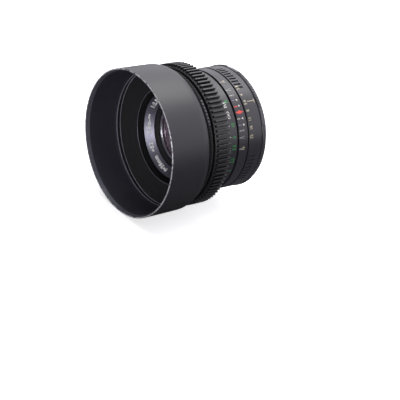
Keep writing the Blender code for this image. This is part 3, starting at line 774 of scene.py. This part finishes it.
def cut(piece, tool):
    """Cuts a tool out of a piece and throws the tool away."""
    knife = piece.modifiers.new("Cut", "BOOLEAN")
    knife.operation = "DIFFERENCE"
    knife.solver = "EXACT"
    knife.object = tool
    take(piece)
    bpy.ops.object.modifier_apply(modifier=knife.name)
    bpy.data.objects.remove(tool, do_unlink=True)


def stub(name, radius, centre_radius, angle, front, rear, sides=32):
    """A round bar along the axis, between two depths."""
    bpy.ops.object.select_all(action="DESELECT")
    middle = place(centre_radius, angle, (front + rear) / 2)
    bpy.ops.mesh.primitive_cylinder_add(
        vertices=sides, radius=radius * MM, depth=(rear - front) * MM, location=middle,
        rotation=(radians(90.0), 0.0, 0.0))
    piece = bpy.context.object
    piece.name = name
    bpy.ops.object.transform_apply(location=True, rotation=True, scale=True)
    return piece


chrome = turned_metal("hard_chrome_plate", "#dadbdd", "#eaebed", 0.20, 0.7)
SCREW_ANGLES = (0.0, 90.0, 180.0, 270.0)
SCREW_CIRCLE = 26.5
SEAT = 63.8
mount_plate = lathe("chromed_mount_plate", [
    (28.45, 61.7), (28.6, 61.85), (28.6, 63.65), (28.45, SEAT), (22.35, SEAT), (22.2, 63.65), (22.2, 61.7)])
for number, angle in enumerate(SCREW_ANGLES, start=1):
    cut(mount_plate, stub("counterbore", 1.6, SCREW_CIRCLE, angle, 62.5, 64.2))
    cut(mount_plate, stub("clearance_hole", 1.0, SCREW_CIRCLE, angle, 61.0, 63.0))
cut(mount_plate, stub("pin_hole", 1.0, 23.9, INDEX_ANGLE, 62.1, 64.2))
soften(mount_plate, 0.05)
cover(mount_plate, chrome)
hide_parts("mount_plate")
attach(mount_plate, "root")

first_screw = stub("slotted_mount_screw_1", 1.3, SCREW_CIRCLE, SCREW_ANGLES[0], 62.8, 63.7)
bpy.ops.object.mode_set(mode="EDIT")
pick_faces(first_screw, lambda radius, turn, depth: depth < 62.81)
bpy.ops.mesh.inset(thickness=0.6 * MM)
bpy.ops.mesh.extrude_region_move(TRANSFORM_OT_translate={"value": (0.0, -3.7 * MM, 0.0)})
bpy.ops.object.mode_set(mode="OBJECT")
bpy.ops.object.select_all(action="DESELECT")
bpy.ops.mesh.primitive_cube_add(
    size=1.0, location=place(SCREW_CIRCLE, SCREW_ANGLES[0], 63.6), rotation=(0.0, -radians(25.0), 0.0))
slot_cutter = bpy.context.object
slot_cutter.scale = (3.4 * MM, 0.8 * MM, 0.42 * MM)
bpy.ops.object.transform_apply(location=True, rotation=True, scale=True)
cut(first_screw, slot_cutter)
soften(first_screw, 0.05)
cover(first_screw, ground_steel)
on_axis = Matrix.Translation((AXIS_X, 0.0, AXIS_Z))
screws = [first_screw]
for number, angle in enumerate(SCREW_ANGLES[1:], start=2):
    screw = first_screw.copy()
    screw.data = first_screw.data.copy()
    screw.name = f"slotted_mount_screw_{number}"
    bpy.context.scene.collection.objects.link(screw)
    screw.data.transform(on_axis @ Matrix.Rotation(-radians(angle), 4, "Y") @ on_axis.inverted())
    screws.append(screw)
for number, screw in enumerate(screws, start=1):
    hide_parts(f"mount_screw_{number}")
    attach(screw, "root")
    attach(screw, "root")

mount_pin = stub("locating_pin", 0.8, 23.9, INDEX_ANGLE, 62.3, 65.2)
bpy.ops.object.mode_set(mode="EDIT")
pick_faces(mount_pin, lambda radius, turn, depth: depth > 65.19)
bpy.ops.mesh.bevel(offset=0.25 * MM, segments=4)
bpy.ops.object.mode_set(mode="OBJECT")
soften(mount_pin, 0.04)
cover(mount_pin, ground_steel)
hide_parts("mount_pin")
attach(mount_pin, "root")


# ------------------------------------------------------------------ stop-down ring and lever
# The camera pushes this lever to close the diaphragm: a steel ring with a finger that stands
# out through the back of the mount.

LEVER_ANGLE = 300.0
stop_down = lathe("stop_down_ring_and_lever", [
    (24.6, 58.9), (24.6, 60.0), (21.7, 60.0), (20.1, 60.0), (20.0, 60.0), (20.0, 58.9)], 360)
push_faces(
    stop_down,
    lambda radius, angle, depth: depth > 59.9 and 20.1 < radius < 21.7
    and abs(angle - LEVER_ANGLE) < 4.1,
    8.0)
soften(stop_down, 0.12)
cover(stop_down, ground_steel)
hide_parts("stop_down_ring")
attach(stop_down, "stop_down")


# ------------------------------------------------------------------ rear guard and baffle
# A black tube round the rear element keeps fingers off it, and a lacquered disc inside the tube
# stops stray light.

rear_guard = lathe("black_rear_guard", [
    (24.7, 60.3), (24.7, 61.1), (22.1, 61.1), (19.8, 61.1), (19.6, 61.1), (19.6, 70.2), (19.3, 70.5),
    (18.8, 70.5), (18.6, 70.3), (18.6, 60.3), (19.8, 60.3), (22.1, 60.3)], 360)
take(rear_guard)
bpy.ops.object.mode_set(mode="EDIT")
pick_faces(
    rear_guard,
    lambda radius, angle, depth: 19.9 < radius < 22.0 and depth < 61.2
    and in_zone(angle, ((LEVER_ANGLE - 8.0, 32.0),)))
bpy.ops.mesh.delete(type="FACE")
bpy.ops.mesh.select_mode(type="EDGE")
bpy.ops.mesh.select_all(action="DESELECT")
bpy.ops.mesh.select_non_manifold()
bpy.ops.mesh.bridge_edge_loops()
bpy.ops.mesh.select_all(action="SELECT")
bpy.ops.mesh.normals_make_consistent(inside=False)
bpy.ops.object.mode_set(mode="OBJECT")
soften(rear_guard, 0.07)
cover(rear_guard, barrel_black)
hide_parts("rear_guard")
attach(rear_guard, "root")

baffle_steps = [(18.3, 68.0), (18.3, 68.8)]
for step in range(4):
    baffle_steps += [(17.6 - 1.1 * step, 68.8), (17.6 - 1.1 * step, 68.65), (17.2 - 1.1 * step, 68.65),
                     (17.2 - 1.1 * step, 68.8)]
baffle = lathe("ridged_rear_baffle", baffle_steps + [(13.2, 68.8), (13.2, 68.0)], 128)
soften(baffle, 0.03, 1)
cover(baffle, lacquer)
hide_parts("rear_baffle")
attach(baffle, "root")


# ------------------------------------------------------------------ hood
# A deep shell turned from aluminium: satin black enamel outside, matt inside, and a bare bright
# line round the rim where the enamel has worn away. Pale enamel on the two inner ledges paints
# their highlight lines. A knurled collar behind it holds its thread.

def satin_enamel(name):
    """Sprayed and baked satin enamel: an even dark grey, with a fine orange peel and dust."""
    material, tree, shader, spot = new_finish(name)
    peel = add_node(tree, "ShaderNodeTexNoise", {"Vector": spot, "Scale": 2600.0, "Detail": 2.0})
    cloud = add_node(tree, "ShaderNodeTexNoise", {"Vector": spot, "Scale": 45.0, "Detail": 5.0})
    tint = add_node(tree, "ShaderNodeMix", {"Factor": cloud.outputs["Fac"]}, data_type="RGBA")
    tint.inputs["A"].default_value = linear("#19181c")
    tint.inputs["B"].default_value = linear("#1f1e23")
    gloss = add_node(tree, "ShaderNodeMapRange", {"Value": cloud.outputs["Fac"]})
    gloss.inputs["To Min"].default_value = 0.38
    gloss.inputs["To Max"].default_value = 0.48
    relief = add_node(tree, "ShaderNodeBump", {"Height": peel.outputs["Fac"]})
    relief.inputs["Strength"].default_value = 0.14
    relief.inputs["Distance"].default_value = 0.02 * MM
    tree.links.new(tint.outputs["Result"], shader.inputs["Base Color"])
    tree.links.new(gloss.outputs["Result"], shader.inputs["Roughness"])
    tree.links.new(relief.outputs["Normal"], shader.inputs["Normal"])
    shader.inputs["IOR"].default_value = 1.52
    return material


def worn_rim(name):
    """Aluminium showing through rubbed enamel: silver along the edge, broken by black flecks."""
    material, tree, shader, spot = new_finish(name)
    fleck = add_node(tree, "ShaderNodeTexNoise", {"Vector": spot, "Scale": 700.0, "Detail": 5.0})
    level = add_node(tree, "ShaderNodeMapRange", {"Value": fleck.outputs["Fac"]})
    level.inputs["From Min"].default_value = 0.36
    level.inputs["From Max"].default_value = 0.50
    tint = add_node(tree, "ShaderNodeMix", {"Factor": level.outputs["Result"]}, data_type="RGBA")
    tint.inputs["A"].default_value = linear("#55555a")
    tint.inputs["B"].default_value = linear("#d4d3d8")
    tree.links.new(tint.outputs["Result"], shader.inputs["Base Color"])
    shader.inputs["Metallic"].default_value = 0.4
    shader.inputs["Roughness"].default_value = 0.38
    return material


def rubbed_enamel(name, dark, light):
    """Paler, smoother enamel: rubbed by fingers and caps on the hood's lip, neck edge and the collar's
    teeth, and a painted highlight on the hood's inner ledges.
    """
    material, tree, shader, spot = new_finish(name)
    rub = add_node(tree, "ShaderNodeTexNoise", {"Vector": spot, "Scale": 160.0, "Detail": 4.0})
    tint = add_node(tree, "ShaderNodeMix", {"Factor": rub.outputs["Fac"]}, data_type="RGBA")
    tint.inputs["A"].default_value = linear(dark)
    tint.inputs["B"].default_value = linear(light)
    tree.links.new(tint.outputs["Result"], shader.inputs["Base Color"])
    shader.inputs["Metallic"].default_value = 0.35
    shader.inputs["Roughness"].default_value = 0.36
    return material


def hood_lining(name):
    """Matt black sprayed inside the hood: soft and slightly blue, and rough to kill glare."""
    material, tree, shader, spot = new_finish(name)
    cloud = add_node(tree, "ShaderNodeTexNoise", {"Vector": spot, "Scale": 60.0, "Detail": 4.0})
    grit = add_node(tree, "ShaderNodeTexNoise", {"Vector": spot, "Scale": 3000.0, "Detail": 2.0})
    tint = add_node(tree, "ShaderNodeMix", {"Factor": cloud.outputs["Fac"]}, data_type="RGBA")
    tint.inputs["A"].default_value = linear("#2a2a33")
    tint.inputs["B"].default_value = linear("#383842")
    relief = add_node(tree, "ShaderNodeBump", {"Height": grit.outputs["Fac"]})
    relief.inputs["Strength"].default_value = 0.2
    relief.inputs["Distance"].default_value = 0.02 * MM
    tree.links.new(tint.outputs["Result"], shader.inputs["Base Color"])
    tree.links.new(relief.outputs["Normal"], shader.inputs["Normal"])
    shader.inputs["Roughness"].default_value = 0.58
    return material


hood_outside = [(37.2, 0.0), (37.5, 0.25), (37.5, 0.6), (37.4, 10.0), (37.3, 19.2), (37.15, 20.8),
                (36.8, 22.1), (36.2, 23.2), (35.4, 23.9), (34.6, 24.3), (30.0, 25.2), (24.75, 25.2)]
neck_edge = [(24.6, 25.05), (24.6, 24.3), (24.75, 24.1), (24.95, 24.1), (25.1, 24.25)]
back_wall = [(28.4, 23.15), (28.5, 22.95), (31.8, 21.85), (31.9, 21.65)]
inner_ledges = [(34.6, 20.75), (34.7, 20.5), (34.95, 20.45), (35.3, 20.5), (35.3, 19.1), (34.95, 18.7),
                (34.75, 18.6), (35.0, 18.15), (35.6, 16.5)]
lip = [(36.0, 3.5), (36.15, 2.2), (36.55, 1.2), (36.75, 0.15), (36.85, 0.0)]
hood = lathe("turned_hood_shell", hood_outside + neck_edge + back_wall + inner_ledges + lip, 256)
soften(hood, 0.06, 2, 24.0)
worn_edge = worn_rim("worn_rim_aluminium")
# The finishes in the order in which they are added. All else is the enamel, which is number 0.
LINING, WORN, RUBBED, LACQUERED, LEDGE = range(1, 6)
RIM_FACE = 0.22
LIP_END = 2.2
FIRST_LEDGE = (18.15, 18.6)
SECOND_LEDGE = (20.3, 20.6)
LINING_END = 18.5
hood.data.materials.append(satin_enamel("satin_black_enamel"))
hood.data.materials.append(hood_lining("matt_black_hood_lining"))
hood.data.materials.append(worn_edge)
rubbed_lip = rubbed_enamel("rubbed_black_enamel", "#55555e", "#7d7c88")
hood.data.materials.append(rubbed_lip)
hood.data.materials.append(lacquer)
# Pale enamel on the two inner ledges is a painted highlight along their edges.
hood.data.materials.append(rubbed_enamel("ledge_highlight_enamel", "#8a8a96", "#aeaebc"))
for face in hood.data.polygons:
    radius, angle, depth = polar_of(face.center)
    inward = face.normal.dot(place(1.0, angle, depth) - place(0.0, angle, depth)) < 0.0
    on_first_ledge = FIRST_LEDGE[0] < depth < FIRST_LEDGE[1] and inward
    on_second_ledge = SECOND_LEDGE[0] < depth < SECOND_LEDGE[1] and 34.7 < radius < 35.2
    on_neck_edge = radius < 25.05 and depth < 24.3
    on_back_wall = depth < 23.6 and radius < 34.8 or depth < 24.35 and radius < 30.0
    if depth < RIM_FACE:
        face.material_index = WORN
    elif depth < LIP_END and inward or on_neck_edge:
        face.material_index = RUBBED
    # Painted highlight lines on the two inner ledges.
    elif on_first_ledge or on_second_ledge:
        face.material_index = LEDGE
    elif radius < 36.2 and (inward or on_back_wall):
        face.material_index = LINING if depth < LINING_END else LACQUERED
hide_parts("hood_shell")
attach(hood, "hood")

COLLAR_FLATS = 360
RUBBED_TEETH = ((34.0, 22.0), (118.0, 30.0), (205.0, 24.0), (300.0, 18.0))
hood_collar = lathe("knurled_hood_collar", [
    (33.9, 25.5), (34.1, 25.7), (34.1, 26.0), (34.1, 27.0), (34.1, 27.3), (33.9, 27.5), (25.8, 27.5),
    (25.55, 27.8), (25.8, 28.1), (25.55, 28.4), (25.8, 28.7), (25.55, 29.0), (25.8, 29.3), (25.55, 29.6),
    (25.8, 29.9), (25.5, 30.6), (24.9, 30.6), (24.7, 30.4), (24.7, 25.5)], COLLAR_FLATS)
push_faces(
    hood_collar,
    lambda radius, angle, depth: radius > 34.0 and 26.0 < depth < 27.0 and int(angle) % 3 < 2,
    0.3)
soften(hood_collar, 0.05)
cover(hood_collar, lacquer)
hood_collar.data.materials.append(rubbed_enamel("rubbed_black_teeth", "#3c3c42", "#58585f"))
for face in hood_collar.data.polygons:
    radius, angle, depth = polar_of(face.center)
    if radius > 34.35 and in_zone(angle, RUBBED_TEETH):
        face.material_index = 1
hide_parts("hood_collar")
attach(hood_collar, "hood")


# ------------------------------------------------------------------ studio
# A white table in a white room, one broad soft light overhead and a weaker one in front that
# reaches into the hood. Table and room look lighter to the camera than to what reflects them.
# The lens stands up and to the left of the middle of the view.

bpy.ops.object.select_all(action="DESELECT")
bpy.ops.mesh.primitive_plane_add(size=8.0, location=(0.0, 0.0, 0.0))
table = bpy.context.object
table.name = "studio_table"
paper, paper_tree, paper_shader = new_finish("white_paper_sweep")[:3]
seen = add_node(paper_tree, "ShaderNodeLightPath")
sheet = add_node(paper_tree, "ShaderNodeMix", {"Factor": seen.outputs["Is Camera Ray"]}, data_type="RGBA")
sheet.inputs["A"].default_value = linear("#5c5c60")
sheet.inputs["B"].default_value = linear("#f8f8f8")
paper_tree.links.new(sheet.outputs["Result"], paper_shader.inputs["Base Color"])
lift = add_node(
    paper_tree, "ShaderNodeMath", {0: seen.outputs["Is Camera Ray"], 1: 0.6}, operation="MULTIPLY")
paper_tree.links.new(lift.outputs["Value"], paper_shader.inputs["Emission Strength"])
paper_shader.inputs["Emission Color"].default_value = linear("#ffffff")
paper_shader.inputs["Roughness"].default_value = 1.0
cover(table, paper)

room = bpy.data.worlds.new("white_room")
bpy.context.scene.world = room
room.use_nodes = True
sky = room.node_tree
heading = add_node(
    sky, "ShaderNodeSeparateXYZ", {"Vector": add_node(sky, "ShaderNodeTexCoord").outputs["Generated"]})
glow = add_node(sky, "ShaderNodeMapRange", {"Value": heading.outputs["Y"]}, interpolation_type="SMOOTHSTEP")
glow.inputs["From Min"].default_value = -0.3
glow.inputs["From Max"].default_value = 0.6
glow.inputs["To Min"].default_value = 0.2
glow.inputs["To Max"].default_value = 1.65
seen_sky = add_node(sky, "ShaderNodeLightPath")
lit = add_node(
    sky, "ShaderNodeMath", {0: glow.outputs["Result"], 1: seen_sky.outputs["Is Camera Ray"]},
    operation="MAXIMUM")
sky.links.new(lit.outputs["Value"], sky.nodes["Background"].inputs["Strength"])
sky.nodes["Background"].inputs["Color"].default_value = linear("#f9f7ff")
bpy.context.scene.view_settings.view_transform = "Standard"


def soft_light(name, location, target, size, power):
    """A square softbox that faces a point."""
    bpy.ops.object.light_add(type="AREA", location=location)
    light = bpy.context.object
    light.name = name
    light.data.size = size
    light.data.energy = power
    light.rotation_mode = "QUATERNION"
    light.rotation_quaternion = (Vector(location) - Vector(target)).to_track_quat("Z", "Y")


middle = (AXIS_X, 0.0, AXIS_Z)
soft_light("overhead_softbox", (-0.15, 0.2, 0.9), middle, 0.9, 9.0)
soft_light("front_softbox", (0.54, -0.85, 0.09), middle, 0.4, 5.5)

AZIMUTH = radians(47.73)
ELEVATION = radians(27.94)
ROLL = radians(9.95)
DISTANCE = 0.616
LEFT_OF_MIDDLE = 0.0361
ABOVE_MIDDLE = 0.0276
back = Vector((sin(AZIMUTH) * cos(ELEVATION), -cos(AZIMUTH) * cos(ELEVATION), sin(ELEVATION)))
level_right = Vector((cos(AZIMUTH), sin(AZIMUTH), 0.0))
level_up = back.cross(level_right)
right = level_right * cos(ROLL) + level_up * sin(ROLL)
up = back.cross(right)
rim_centre = place(0.0, 0.0, 0.0)
eye = rim_centre + back * DISTANCE + right * LEFT_OF_MIDDLE - up * ABOVE_MIDDLE
camera_data = bpy.data.cameras.new("studio_camera")
camera = bpy.data.objects.new("studio_camera", camera_data)
bpy.context.scene.collection.objects.link(camera)
camera.matrix_world = Matrix((
    (right.x, up.x, back.x, eye.x), (right.y, up.y, back.y, eye.y), (right.z, up.z, back.z, eye.z),
    (0.0, 0.0, 0.0, 1.0)))
camera_data.lens = 112.5
camera_data.sensor_width = 36.0
camera_data.clip_start = 0.01
camera_data.clip_end = 20.0
bpy.context.scene.camera = camera
